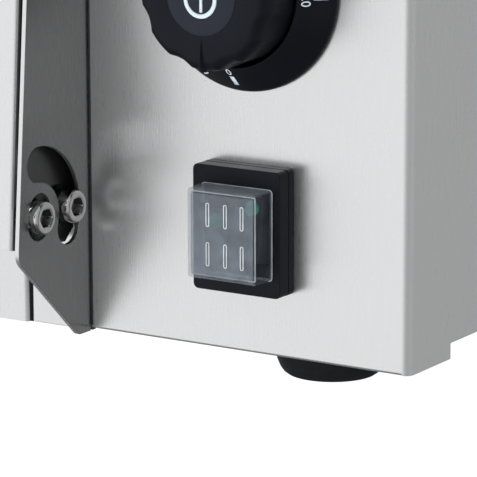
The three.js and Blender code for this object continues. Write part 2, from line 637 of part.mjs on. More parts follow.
/** Knob pointing straight down, with a raised pointer rib and a round centre cap. */
function knob(z) {
  const centre = [CONTROL_X, z];
  const pointer = box([CONTROL_X - POINTER.half, CONTROL_X + POINTER.half],
    [POINTER.front, POINTER.back], [z - POINTER.tip, z - POINTER.root]);
  const body = join(
    prism('y', gripOutline(centre, KNOB.radius), [KNOB.shoulder, KNOB.back]),
    prism('y', gripOutline(centre, KNOB.radius - KNOB.inset), [KNOB.front, KNOB.shoulder + 0.1]),
    rod('y', KNOB.cap, [KNOB.capFront, KNOB.front + 1], centre, { sides: 24 }),
    pointer,
  );
  return cut(body, rod('y', KNOB.bore, [SHAFT.tip, 0], centre, { sides: 12 }));
}

for (const { name, z, bodyDepth, bodyHalf } of CONTROLS) {
  const behind = SHEET + FIT;
  part(`${name}_body`, box([CONTROL_X - bodyHalf, CONTROL_X + bodyHalf], [behind, behind + bodyDepth],
    [z - bodyHalf, z + bodyHalf]), inner);
  part(`${name}_shaft`, rod('y', SHAFT.radius, [SHAFT.tip + FIT, behind - FIT], [CONTROL_X, z],
    { sides: 12 }), zinc);
  part(`${name}_bezel`, bezel(z), plastic);
  part(`${name}_knob`, knob(z), plastic);
}

// ---- power switch and inlet ---------------------------------------------------------------------
function switchHousing() {
  const { x, z, width, height, depth, corner } = SWITCH;
  const inset = ({ halfWidth, halfHeight, back }, front) =>
    box([x - halfWidth, x + halfWidth], [front, back], [z - halfHeight, z + halfHeight]);
  return cut(
    join(
      prism('y', roundedRectangle(width, height, corner, [x, z]), [-depth, -FIT], 3),
      inset(SWITCH_NECK, -1),
    ),
    inset(SWITCH_WELL, -depth - 1),
  );
}

/** Rocker with a shallow V across its face, drawn level about its own tilting axis. */
function switchRocker() {
  const [half, ends, face, middle, back] = [4.9, 10, -11.3, -10.1, 4];
  return prism('x', [[back, -8], [back, 8], [0, ends], [face, ends], [middle, 0], [face, -ends], [0, -ends]],
    [-half, half]);
}

/** Clear flexible hood over the rocker, open at the back. */
function switchCover() {
  const { z, depth } = SWITCH;
  const { dx, width, height, reach, corner, wall } = COVER;
  const x = SWITCH.x + dx;
  const [base, front] = [-depth - FIT, -depth - reach];
  const hollow = roundedRectangle(width - 2 * wall, height - 2 * wall, corner / 2, [x, z]);
  return cut(
    prism('y', roundedRectangle(width, height, corner, [x, z]), [front, base], 3),
    prism('y', hollow, [front + wall, base + 1], 3),
  );
}

/** Three-pin appliance inlet: a flanged shell with its blades standing in the recess. */
function powerInlet() {
  const { x, z, width, height, depth } = INLET;
  const shell = join(
    box([x - width / 2, x + width / 2], [DEPTH - depth, DEPTH + 1], [z - height / 2, z + height / 2]),
    box([x - FLANGE.halfWidth, x + FLANGE.halfWidth], [FLANGE.front, FLANGE.back],
      [z - FLANGE.halfHeight, z + FLANGE.halfHeight]),
  );
  const recess = box([x - 12, x + 12], [DEPTH - 17, DEPTH + 5], [z - 8, z + 8]);
  const blades = [[-7, -2], [0, 2.5], [7, -2]].map(([dx, dz]) =>
    box([x + dx - 1, x + dx + 1], [DEPTH - 18, DEPTH - 1], [z + dz - 2, z + dz + 2]));
  return join(cut(shell, recess), ...blades);
}

part('switch_housing', switchHousing(), plastic);
for (const [name, side] of [['left', -1], ['right', 1]]) {
  const seat = new THREE.Group();
  seat.position.set(SWITCH.x + side * ROCKER.offset, 0, SWITCH.z);
  seat.rotation.x = -side * ROCKER.tilt;                  // the left one's top stands forward
  oven.add(seat);
  part(`rocker_${name}`, switchRocker(), inner, seat);
}
part('switch_cover', switchCover(), silicone);
part('power_inlet', powerInlet(), plastic);

// ---- stand the oven on Z = 0 with its box centred on the origin ---------------------------------
oven.updateMatrixWorld(true);
const extent = new THREE.Box3().setFromObject(oven, true);
const middle = extent.getCenter(new THREE.Vector3());
oven.position.set(-middle.x, -middle.y, -extent.min.z);

export default oven;
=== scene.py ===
"""Counter-top rotisserie oven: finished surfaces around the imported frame, on a plain pale set.

Lengths are in millimetres and become metres where they are multiplied by MM. x runs to the oven's right, y
to its back and z up, and CORNER is the lower right front corner of the control panel.
"""
import json
import math

import bmesh
import bpy
from mathutils import Matrix, Vector


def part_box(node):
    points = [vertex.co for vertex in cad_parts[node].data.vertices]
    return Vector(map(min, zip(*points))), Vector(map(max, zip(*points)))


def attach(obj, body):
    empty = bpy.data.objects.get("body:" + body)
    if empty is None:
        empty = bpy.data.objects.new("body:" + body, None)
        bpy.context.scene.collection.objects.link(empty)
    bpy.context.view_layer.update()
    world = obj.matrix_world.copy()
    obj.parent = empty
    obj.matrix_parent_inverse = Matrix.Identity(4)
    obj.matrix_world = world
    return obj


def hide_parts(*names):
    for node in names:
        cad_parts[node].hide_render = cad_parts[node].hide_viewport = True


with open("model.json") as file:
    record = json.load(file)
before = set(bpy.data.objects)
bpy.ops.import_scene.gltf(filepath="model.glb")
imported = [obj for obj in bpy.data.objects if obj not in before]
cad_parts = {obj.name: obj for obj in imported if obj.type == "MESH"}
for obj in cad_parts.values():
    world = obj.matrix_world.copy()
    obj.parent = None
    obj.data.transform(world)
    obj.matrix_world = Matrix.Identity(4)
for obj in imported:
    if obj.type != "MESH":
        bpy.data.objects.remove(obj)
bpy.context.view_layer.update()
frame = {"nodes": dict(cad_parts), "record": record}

MM = 0.001
FACING = 0.7                                    # a face looks along an axis when this much of its normal does
RECORD = frame["record"]
BODY_OF = {node: body for body, nodes in RECORD["behaviour"]["bodies"].items() for node in nodes}
JOINT = {joint["name"]: joint for joint in RECORD["behaviour"]["joints"]}

panel_low, panel_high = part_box("control_panel")
CORNER = Vector((panel_high.x, panel_low.y, panel_low.z))


def on_panel(node):
    """Middle of a node's box, moved to the panel's front face."""
    low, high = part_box(node)
    return Vector(((low.x + high.x) / 2, CORNER.y, (low.z + high.z) / 2))


# ---- meshes ---------------------------------------------------------------------------------------
def mesh_object(name, bm):
    """Object holding the bmesh, its faces pointing out and smooth."""
    bmesh.ops.recalc_face_normals(bm, faces=bm.faces)
    mesh = bpy.data.meshes.new(name)
    bm.to_mesh(mesh)
    bm.free()
    mesh.shade_smooth()
    obj = bpy.data.objects.new(name, mesh)
    bpy.context.scene.collection.objects.link(obj)
    return obj


def soften(obj, width, segments=2, angle=35):
    """Rounds the edges sharper than angle over width millimetres."""
    bevel = obj.modifiers.new("round edges", "BEVEL")
    bevel.width = width * MM
    bevel.segments = segments
    bevel.limit_method = "ANGLE"
    bevel.angle_limit = math.radians(angle)
    flatten = obj.modifiers.new("flat faces", "WEIGHTED_NORMAL")
    flatten.weight = 100
    flatten.keep_sharp = True
    return obj


def dress(obj, material, node=None, body=None, replaces=()):
    """Gives the piece its finish and body, the node's own body unless another is named, and hides the nodes
    it replaces.
    """
    obj.data.materials.clear()
    obj.data.materials.append(material)
    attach(obj, body or BODY_OF[node])
    if replaces:
        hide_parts(*replaces)
    return obj


def partly(obj, material, chosen):
    """Gives a second finish to the faces that chosen picks out."""
    obj.data.materials.append(material)
    for face in obj.data.polygons:
        face.material_index = int(chosen(face))


def refined(node, material, width=0.3, segments=2, lip=0.0, whole=True):
    """Stands for a CAD node: the same form with rounded edges, its flat faces whole unless one is a ring.

    The lower front edge is rolled to the lip's radius in mm where one is given.
    """
    bm = bmesh.new()
    bm.from_mesh(frame["nodes"][node].data)
    bmesh.ops.remove_doubles(bm, verts=bm.verts, dist=0.01 * MM)
    if whole:
        bmesh.ops.dissolve_limit(bm, angle_limit=math.radians(1), verts=bm.verts, edges=bm.edges)
    if lip:
        low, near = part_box(node)[0], 0.05 * MM
        rolled = [edge for edge in bm.edges if all(
            vert.co.y < low.y + near and vert.co.z < low.z + near for vert in edge.verts)]
        bmesh.ops.bevel(bm, geom=rolled, offset=lip * MM, segments=6, profile=0.5, affect="EDGES")
    obj = soften(mesh_object(node + "_fine", bm), width, segments)
    return dress(obj, material, node, replaces=[node])


def loft(name, rings, ends=(True, True)):
    """Skin over rings of equal point counts, its ends closed where asked."""
    bm = bmesh.new()
    rows = [[bm.verts.new(point) for point in ring] for ring in rings]
    count = len(rings[0])
    for row, following in zip(rows, rows[1:]):
        for i in range(count):
            j = (i + 1) % count
            bm.faces.new((row[i], row[j], following[j], following[i]))
    if ends[0]:
        bm.faces.new(rows[0])
    if ends[1]:
        bm.faces.new(rows[-1])
    return mesh_object(name, bm)


def turned(name, profile, centre, axis="Y", sides=72, ends=(True, True)):
    """Lathe form about the axis through centre, a Vector in metres.

    The profile holds (radius, along) pairs in mm, or functions that give such a pair at an angle.
    """
    rings = []
    for station in profile:
        ring = []
        for i in range(sides):
            angle = 2 * math.pi * i / sides
            radius, along = station(angle) if callable(station) else station
            u, v = radius * math.cos(angle), radius * math.sin(angle)
            offset = {"X": (along, u, v), "Y": (u, along, v), "Z": (u, v, along)}[axis]
            ring.append(centre + Vector(offset) * MM)
        rings.append(ring)
    return loft(name, rings, ends)


def rounded_rectangle(width, height, radius, steps=6):
    """Points (u, v) round a rectangle with rounded corners, always the same number of them."""
    radius = max(radius, 0.01)
    corners = [(1, 1, 0), (-1, 1, 90), (-1, -1, 180), (1, -1, 270)]
    points = []
    for side, rise, start in corners:
        for step in range(steps + 1):
            angle = math.radians(start + 90 * step / steps)
            points.append((
                side * (width / 2 - radius) + radius * math.cos(angle),
                rise * (height / 2 - radius) + radius * math.sin(angle),
            ))
    return points


def slab(name, outline, y0, y1, place):
    """Plate with an outline of (x, z) points in mm; place turns (x, y, z) in mm into a point."""
    return loft(name, [[place(x, y, z) for x, z in outline] for y in (y0, y1)])


def pipe(name, points, radius, loop=False):
    """Round rod along points, as a curve; radius in mm."""
    curve = bpy.data.curves.new(name, "CURVE")
    curve.dimensions = "3D"
    curve.bevel_depth = radius * MM
    curve.bevel_resolution = 3
    curve.use_fill_caps = not loop
    spline = curve.splines.new("POLY")
    spline.points.add(len(points) - 1)
    for target, point in zip(spline.points, points):
        target.co = (*point, 1)
    spline.use_cyclic_u = loop
    spline.use_smooth = True
    obj = bpy.data.objects.new(name, curve)
    bpy.context.scene.collection.objects.link(obj)
    return obj


# ---- finishes -------------------------------------------------------------------------------------
def add_node(tree, kind, inputs, **settings):
    """New node whose inputs are other nodes' outputs or plain values."""
    made = tree.nodes.new(kind)
    for setting, value in settings.items():
        setattr(made, setting, value)
    for socket, value in inputs.items():
        if isinstance(value, bpy.types.NodeSocket):
            tree.links.new(value, made.inputs[socket])
        else:
            made.inputs[socket].default_value = value
    return made


def add_ramp(tree, value, stops):
    """Colour that follows a value through stops of (place, rgb)."""
    ramp = add_node(tree, "ShaderNodeValToRGB", {"Fac": value})
    elements = ramp.color_ramp.elements
    while len(elements) < len(stops):
        elements.new(0.5)
    for element, (place, colour) in zip(elements, stops):
        element.position = place
        element.color = (*colour, 1)
    return ramp.outputs["Color"]


class Finish:
    """A material built round one Principled shader, patterned in the piece's own coordinates."""

    low_noise, high_noise = 0.3, 0.7            # the part of a noise's range that patterns use

    def __init__(self, name, **sockets):
        self.material = bpy.data.materials.new(name)
        self.material.use_nodes = True
        self.tree = self.material.node_tree
        self.shader = self.tree.nodes["Principled BSDF"]
        for socket, value in sockets.items():
            self.shader.inputs[socket.replace("_", " ")].default_value = value

    def noise(self, cells, detail=3.0, roughness=0.55):
        """Noise whose cells per metre are given along x, y and z."""
        place = add_node(self.tree, "ShaderNodeTexCoord", {}).outputs["Object"]
        stretched = add_node(self.tree, "ShaderNodeMapping", {"Vector": place, "Scale": cells})
        return add_node(self.tree, "ShaderNodeTexNoise", {
            "Vector": stretched.outputs["Vector"], "Scale": 1.0, "Detail": detail, "Roughness": roughness,
        }).outputs["Fac"]

    def total(self, first, second, share=0.5):
        """Sum of two patterns, the second having the given share."""
        scaled = add_node(self.tree, "ShaderNodeMath", {0: second, 1: share}, operation="MULTIPLY")
        kept = add_node(self.tree, "ShaderNodeMath", {0: first, 1: 1 - share}, operation="MULTIPLY")
        both = {0: kept.outputs[0], 1: scaled.outputs[0]}
        return add_node(self.tree, "ShaderNodeMath", both, operation="ADD").outputs[0]

    def paint(self, pattern, dark, light):
        """Base colour that follows a pattern from dark to light."""
        stops = [(self.low_noise, dark), (self.high_noise, light)]
        self.link("Base Color", add_ramp(self.tree, pattern, stops))

    def vary(self, socket, pattern, low, high):
        """Socket that follows a pattern from low to high."""
        self.link(socket, add_node(self.tree, "ShaderNodeMapRange", {
            "Value": pattern, "From Min": self.low_noise, "From Max": self.high_noise,
            "To Min": low, "To Max": high,
        }).outputs["Result"])

    def bump(self, height, strength, distance):
        """Relief from a pattern, distance in mm."""
        inputs = {"Height": height, "Strength": strength, "Distance": distance * MM}
        self.link("Normal", add_node(self.tree, "ShaderNodeBump", inputs).outputs["Normal"])

    def link(self, socket, output):
        """Joins a node's output to a socket of the shader."""
        self.tree.links.new(output, self.shader.inputs[socket])


def grey(level, tint=(1.0, 1.0, 1.0)):
    """Colour of a grey level, leaning to the tint."""
    return tuple(level * part for part in tint)


def brushed(name, cells, tone, roughness, axis="Z", anisotropic=0.6):
    """Brushed sheet: grain in long thin cells, and highlights drawn out across the grain."""
    tint, relief = (0.985, 0.99, 1.0), 0.003
    finish = Finish(name, Metallic=0.95, Anisotropic=anisotropic)
    grain = finish.noise(cells, detail=5.0, roughness=0.7)
    clouds = finish.noise((9, 9, 9), detail=2.0)
    mixed = finish.total(grain, clouds, 0.35)
    finish.paint(mixed, grey(tone[0], tint), grey(tone[1], tint))
    finish.vary("Roughness", mixed, *roughness)
    finish.bump(grain, 0.35, relief)
    tangent = add_node(finish.tree, "ShaderNodeTangent", {}, direction_type="RADIAL", axis=axis)
    finish.link("Tangent", tangent.outputs["Tangent"])
    return finish.material


def polished(name, tone, roughness):
    """Turned steel, bright or blackened, with faint tool marks."""
    finish = Finish(name, Metallic=1.0)
    marks = finish.noise((900, 900, 900))
    finish.paint(marks, grey(tone[0]), grey(tone[1]))
    finish.vary("Roughness", marks, *roughness)
    finish.bump(marks, 0.2, 0.01)
    return finish.material


def zinc():
    """Zinc coat with soft spangle."""
    finish = Finish("zinc_steel", Metallic=1.0)
    spangle = finish.noise((160, 160, 160), detail=4.0)
    finish.paint(spangle, (0.5, 0.51, 0.52), (0.66, 0.67, 0.68))
    finish.vary("Roughness", spangle, 0.42, 0.58)
    finish.bump(spangle, 0.2, 0.02)
    return finish.material


def moulded(name, dark, light, roughness, cells=2600, relief=0.008):
    """Moulded plastic or rubber with a fine sparked texture and a cool sheen."""
    finish = Finish(name, Specular_IOR_Level=0.17, Specular_Tint=(0.76, 0.86, 1.0, 1))
    grain = finish.noise((cells, cells, cells), detail=2.0)
    clouds = finish.noise((60, 60, 60), detail=2.0)
    finish.paint(finish.total(grain, clouds), dark, light)
    finish.vary("Roughness", clouds, *roughness)
    finish.bump(grain, 0.3, relief)
    return finish.material


def heated():
    """Oxidised heater sheath, mottled brown grey."""
    finish = Finish("element_sheath", Metallic=0.7)
    mottle = finish.noise((90, 90, 90), detail=5.0)
    finish.paint(mottle, (0.16, 0.14, 0.13), (0.34, 0.31, 0.29))
    finish.vary("Roughness", mottle, 0.45, 0.7)
    finish.bump(mottle, 0.3, 0.05)
    return finish.material


def pane():
    """Oven glass, faintly grey green, with the least waviness."""
    finish = Finish("door_glass", IOR=1.5, Transmission_Weight=1.0)
    wave = finish.noise((14, 14, 14), detail=1.0)
    finish.paint(wave, (0.72, 0.77, 0.76), (0.76, 0.81, 0.8))
    finish.vary("Roughness", wave, 0.0, 0.02)
    finish.bump(wave, 0.05, 0.05)
    return finish.material


def hazy(name, alpha, tone, roughness, tint=(0.74, 0.86, 1.0)):
    """Clear flexible silicone with a milky haze."""
    finish = Finish(name, IOR=1.41)
    haze = finish.noise((220, 220, 220), detail=2.0)
    finish.paint(haze, grey(tone[0], tint), grey(tone[1], tint))
    finish.vary("Roughness", haze, *roughness)
    finish.vary("Alpha", haze, *alpha)
    return finish.material


def jewel():
    """Green lamp lens, its tone varying at random between two greens."""
    finish = Finish("green_lens", IOR=1.5)
    depth = finish.noise((500, 500, 500), detail=1.0)
    finish.paint(depth, (0.012, 0.15, 0.115), (0.02, 0.21, 0.16))
    finish.vary("Roughness", depth, 0.15, 0.25)
    return finish.material


def printed():
    """Pale blue-white ink, slightly uneven."""
    finish = Finish("pale_print")
    ink = finish.noise((1500, 1500, 1500), detail=2.0)
    finish.paint(ink, (0.56, 0.66, 0.75), (0.68, 0.78, 0.86))
    finish.vary("Roughness", ink, 0.5, 0.65)
    return finish.material


# Cells per metre across the brushing and along it, for sheets brushed upright and from side to side
ACROSS, ALONG = 2400, 70
UPRIGHT, SIDEWAYS = (ACROSS, ACROSS, ALONG), (ALONG, ACROSS, ACROSS)
STEEL = brushed("brushed_steel", UPRIGHT, (0.785, 0.835), (0.26, 0.3))
# Darker copy of the brushed steel: painted shade and dark reflection for the side faces of the hinge cheeks
STEEL_SHADE = brushed("steel_painted_shade", UPRIGHT, (0.28, 0.34), (0.25, 0.29))
SHADED = brushed("shaded_steel", UPRIGHT, (0.12, 0.16), (0.3, 0.34))
STEEL_TOP = brushed("brushed_steel_top", SIDEWAYS, (0.785, 0.835), (0.26, 0.3), axis="X")
LINER = brushed("liner_steel", (ALONG, 700, 700), (0.42, 0.6), (0.38, 0.52), axis="X", anisotropic=0.3)
BRIGHT = polished("bright_steel", (0.66, 0.82), (0.08, 0.15))
OXIDE = polished("black_oxide", (0.012, 0.02), (0.3, 0.4))
# Darker copy of the bright steel for the inside of hex sockets: painted shade
SOCKET_SHADE = polished("socket_painted_shade", (0.1, 0.22), (0.12, 0.22))
ZINC = zinc()
PLASTIC = moulded("black_plastic", (0.004, 0.0044, 0.0064), (0.0062, 0.0066, 0.0092), (0.34, 0.42))
CAP = moulded("cap_plastic", (0.016, 0.018, 0.026), (0.022, 0.025, 0.034), (0.4, 0.5))
INNER = moulded("dark_plastic", (0.012, 0.013, 0.016), (0.018, 0.019, 0.023), (0.45, 0.55), relief=0.002)
# Black rubber of the feet, also used for the strips of painted shade at the tray's ends
RUBBER_AND_SHADE = moulded("rubber_feet", (0.006, 0.006, 0.007), (0.012, 0.012, 0.013), (0.6, 0.8), cells=1200)
# Black silicone of the door gasket, also used for the strips of painted shade by the cheeks
SEAL_AND_SHADE = moulded("seal_silicone", (0.03, 0.03, 0.032), (0.05, 0.05, 0.054), (0.55, 0.7), cells=900)
SHEATH = heated()
GLASS = pane()
HIGHLIGHT_WHITE = (0.93, 0.97, 1.0)                      # tint of the painted highlights on the hood's edges and slot outlines, less blue than its faces
HOOD = hazy("clear_silicone", (0.3, 0.36), (0.36, 0.44), (0.2, 0.3))
HOOD_TOP = hazy("silicone_top", (0.22, 0.28), (0.34, 0.44), (0.2, 0.3))
# Darker copy of the silicone for the hood's right side: painted shade
HOOD_SHADE_SIDE = hazy("silicone_side_painted_shade", (0.05, 0.09), (0.15, 0.21), (0.15, 0.22))
# Near-white copy of the silicone for the beads along the hood's edges: painted highlight
HOOD_EDGE_HIGHLIGHT = hazy("silicone_edge_painted_highlight", (0.4, 0.55), (0.6, 0.75), (0.25, 0.35), HIGHLIGHT_WHITE)
# Near-white, nearly opaque copy of the silicone for the slot outlines: painted highlight
HOOD_RIB_HIGHLIGHT = hazy("silicone_rib_painted_highlight", (0.8, 0.95), (0.82, 0.95), (0.25, 0.35), HIGHLIGHT_WHITE)
LENS = jewel()
PRINT = printed()


# ---- cabinet --------------------------------------------------------------------------------------
def cabinet():
    """Folded sheets of the casing, each with its grain upright except the lid's, and the hinge cheeks, whose
    side faces carry a darker copy of the steel as painted shade.
    """
    rounding = {"front_frame": 0.25, "right_side_panel": 0.3, "left_side_panel": 0.45, "rear_panel": 0.3}
    for node, width in rounding.items():
        refined(node, STEEL, width)
    refined("control_panel", STEEL, 0.8, lip=0.9)
    for side in ("left", "right"):
        # The cheeks' side faces get the darker steel as painted shade; their edges keep the plain steel
        cheek = refined(f"hinge_cheek_{side}", STEEL_SHADE, 0.28)
        partly(cheek, STEEL, lambda face: abs(face.normal.x) <= FACING)
    refined("top_cover", STEEL_TOP, 0.5, segments=3)
    refined("base_pan", ZINC)


def cheek_seals():
    """Black strips of painted shade on the front frame beside the door, behind the slots of the two cheeks.
    """
    frame_low, frame_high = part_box("front_frame")
    door_low, door_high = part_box("door_frame")
    thick, gap, proud = 1.4 * MM, 0.35 * MM, 0.15 * MM
    bottom, fold, top = (CORNER.z + z * MM for z in (27, 28, 347))
    lean = math.tan(math.radians(4.1))          # of the frame above its fold
    for side, outer, edge, sign in (
        ("right", frame_high.x, door_high.x, 1), ("left", frame_low.x, door_low.x, -1),
    ):
        inner = edge + sign * gap
        rings = []
        for z in (bottom, top):
            face = frame_low.y - proud + max(0.0, z - fold) * lean
            rings.append([Vector((x, y, z)) for x, y in (
                (inner, face - thick), (outer, face - thick), (outer, face), (inner, face))])
        # black strip that paints the shade seen through the cheek's slots
        dress(soften(loft(f"cheek_slot_painted_shade_{side}", rings), 0.3), SEAL_AND_SHADE, body="cabinet")


def strip(name, xs, ys, zs, material):
    """Straight length of black strip on the cabinet, painted shade."""
    rings = [[Vector((x, y, z)) for x, y in (
        (xs[0], ys[0]), (xs[1], ys[0]), (xs[1], ys[1]), (xs[0], ys[1]))] for z in zs]
    dress(loft(name, rings), material, body="cabinet")


def cheek_seam():
    """Thin black strips of painted shade in the seam between the right cheek and the control panel, wider at
    its foot, and a thin lip of painted shade on the panel's front beside the cheek.
    """
    cheek_low, cheek_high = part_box("hinge_cheek_right")
    frame_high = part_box("front_frame")[1]
    spare, front, depth = 0.03 * MM, 0.2 * MM, 12 * MM
    foot_depth, foot_top = 2 * MM, CORNER.z + 7.8 * MM
    lip, thick, lip_foot = 0.45 * MM, 0.12 * MM, 1 * MM
    # strips behind the seam and at its foot: painted shade that keeps the gap dark
    for name, left, reach, bottom, top in (
        ("shade_fill", cheek_high.x, depth, foot_top, cheek_high.z),
        ("foot", frame_high.x, foot_depth, cheek_low.z + front, foot_top - spare),
    ):
        strip("cheek_seam_" + name, (left + spare, panel_low.x - spare),
              (CORNER.y + front, CORNER.y + reach), (bottom, top), SEAL_AND_SHADE)
    # black lip on the panel's front beside the cheek: painted shade
    strip("cheek_seam_shade_lip", (cheek_high.x + spare, panel_low.x + lip),
          (CORNER.y - thick, CORNER.y - spare), (panel_low.z + lip_foot, cheek_high.z), SEAL_AND_SHADE)


def tray_seals():
    """Thin black strips of painted shade on the front frame, in and over the gap at each end of the tray's
    front.
    """
    low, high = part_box("drip_tray")
    frame_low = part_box("front_frame")[0]
    spare, gap, lip, proud = 0.03 * MM, 1.04 * MM, 0.2 * MM, 0.1 * MM
    depth, headroom = 6 * MM, 0.3 * MM
    zs = (frame_low.z + spare, high.z - headroom)
    # each end gets a black strip over the gap and one in it, painted shade
    for side, end, sign in (("right", high.x, 1), ("left", low.x, -1)):
        for place, width, ys in (
            ("shade_fill", gap + lip, (frame_low.y - proud, frame_low.y - spare)),
            ("gap", gap - spare, (frame_low.y + spare, frame_low.y + depth)),
        ):
            xs = sorted((end + sign * spare, end + sign * width))
            strip(f"tray_{place}_{side}", xs, ys, zs, RUBBER_AND_SHADE)


def pan_head(name, place, axis):
    """Cross-slot panel screw whose low dome stands out along the axis."""
    radius, height, crown, depth = 3.4, 0.78, 1.9, 0.4
    half_slot, inner_corner = 0.55, 0.3

    def cross(share, along):
        def station(angle):
            arm = max(abs(math.cos(angle)), abs(math.sin(angle)))
            reach = half_slot / max(math.sqrt(1 - arm * arm), inner_corner)
            return share * min(crown * 0.95, reach), along
        return station

    profile = [(radius, 0.0), (radius, 0.2), (radius * 0.9, 0.5), (radius * 0.7, 0.7), (crown, height),
               cross(1.0, height), cross(0.6, height - depth)]
    dress(turned(name, profile, place, axis, sides=40), BRIGHT, body="cabinet")


def panel_screws():
    """Screws that hold the right side and the back."""
    inset, sunk = 9 * MM, 1 * MM

    def heights(low, high, bottom, top):
        return enumerate((low.z + bottom * MM, (low.z + high.z) / 2, high.z - top * MM))

    low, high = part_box("right_side_panel")
    for i, z in heights(low, high, 30, 20):
        pan_head(f"side_screw_{i}", Vector((high.x, high.y - inset, z)), "X")
    low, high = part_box("rear_panel")
    for i, z in heights(low, high, 25, 15):
        for side, x in (("left", low.x + inset), ("right", high.x - inset)):
            pan_head(f"back_screw_{side}_{i}", Vector((x, high.y - sunk, z)), "Y")


def foot(node):
    """Rubber foot: flared up to the base pan, rounded at the floor, with a moulded ring."""
    low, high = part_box(node)
    centre = (low + high) / 2
    centre.z = low.z
    top = (high.x - low.x) / 2 / MM
    height = (high.z - low.z) / MM
    sole = 13.4
    profile = [
        (0.01, 1.4), (sole - 5.5, 1.4), (sole - 4.6, 0.2), (sole - 3.8, 0.0), (sole - 1.0, 0.0),
        (sole + 0.3, 0.3), (sole + 1.4, 1.1), (sole + 2.3, 2.4), (sole + 3.2, 4.6), (sole + 4.3, 9.0),
        (sole + 5.2, height - 2.0), (top - 0.9, height - 1.6), (top - 0.3, height - 1.2),
        (top, height - 0.6), (top, height), (0.01, height),
    ]
    dress(turned(node + "_fine", profile, centre, "Z"), RUBBER_AND_SHADE, node, replaces=[node])


# ---- chamber, spit and drive ----------------------------------------------------------------------
def chamber():
    """Cavity liner, spit support, motor, and the bodies and shafts behind the controls."""
    for node in ("cavity_wrapper", "cavity_left_wall", "cavity_right_wall", "spit_support"):
        refined(node, LINER, 0.25)
    refined("spit_motor", ZINC, 0.8, segments=3)
    for name in ("timer", "thermostat", "selector"):
        refined(name + "_body", INNER, 0.8, segments=3)
        refined(name + "_shaft", ZINC)


def heating_element(node):
    """Sheathed heater: four runs joined by half circles, its ends going out through the right wall."""
    low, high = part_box(node)
    lead, end = 72 * MM, high.x - 0.5 * MM
    radius = (high.z - low.z) / 2
    first, last = low.y + radius, high.y - radius
    pitch = (last - first) / 3
    bend = pitch / 2
    left = low.x + radius + bend
    right = high.x - lead
    z = (low.z + high.z) / 2
    runs = [first + i * pitch for i in range(4)]
    points = [Vector((end, runs[0], z))]
    for i, (x, side) in enumerate(((left, -1), (right, 1), (left, -1))):
        for step in range(17):
            angle = math.pi * step / 16
            points.append(Vector((
                x + side * bend * math.sin(angle), runs[i] + bend * (1 - math.cos(angle)), z)))
    points.append(Vector((end, runs[3], z)))
    dress(pipe(node + "_fine", points, radius / MM), SHEATH, node, replaces=[node])


def spit():
    """Spit rod with its coupling, and two forks held by thumbscrews."""
    for node in ("spit_rod", "drive_coupling"):
        refined(node, BRIGHT, 0.5, segments=3)
    for side in ("left", "right"):
        refined(f"spit_fork_{side}", BRIGHT, 0.5)
        thumbscrew(f"fork_screw_{side}")


def thumbscrew(node):
    """Knurled thumbscrew standing on a fork's hub."""
    low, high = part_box(node)
    centre = (low + high) / 2
    centre.z = low.z
    head = (high.x - low.x) / 2 / MM
    height = (high.z - low.z) / MM
    stem, ridge, sides = 2.5, 0.35, 96

    def knurled(radius, z):
        def station(angle):
            valley = round(sides * angle / (2 * math.pi)) % 4 > 1
            return radius - ridge * valley, z
        return station

    profile = [
        (0.01, 0.0), (stem, 0.0), (stem, height - 5.2), knurled(head - 0.7, height - 5.0),
        knurled(head, height - 4.4), knurled(head, height - 0.7), knurled(head - 0.7, height),
        (0.01, height),
    ]
    dress(turned(node + "_fine", profile, centre, "Z", sides=sides), BRIGHT, node, replaces=[node])


# ---- door -----------------------------------------------------------------------------------------
def door():
    """Door frame with darker sides, its inner panel, two panes and the gasket."""
    partly(refined("door_frame", STEEL, 0.35), SHADED, lambda face: abs(face.normal.x) > FACING)
    refined("door_inner_panel", STEEL, 0.25)
    refined("outer_glass", GLASS, 0.8)
    refined("inner_glass", GLASS, 0.8)
    refined("door_gasket", SEAL_AND_SHADE, 0.9, segments=3)


def handle():
    """Round bar with domed ends on two posts."""
    low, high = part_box("handle_bar")
    centre = (low + high) / 2
    radius = (high.z - low.z) / 2 / MM
    half = (high.x - low.x) / 2 / MM
    dome = [(0.01, 0.0), (radius * 0.55, 0.25), (radius * 0.86, 1.2), (radius, 3.2)]
    profile = [(r, inset - half) for r, inset in dome]
    profile += [(r, half - inset) for r, inset in reversed(dome)]
    bar = turned("handle_bar_fine", profile, centre, "X")
    dress(bar, BRIGHT, "handle_bar", replaces=["handle_bar"])
    for side in ("left", "right"):
        refined(f"handle_post_{side}", PLASTIC, 0.8, segments=3)


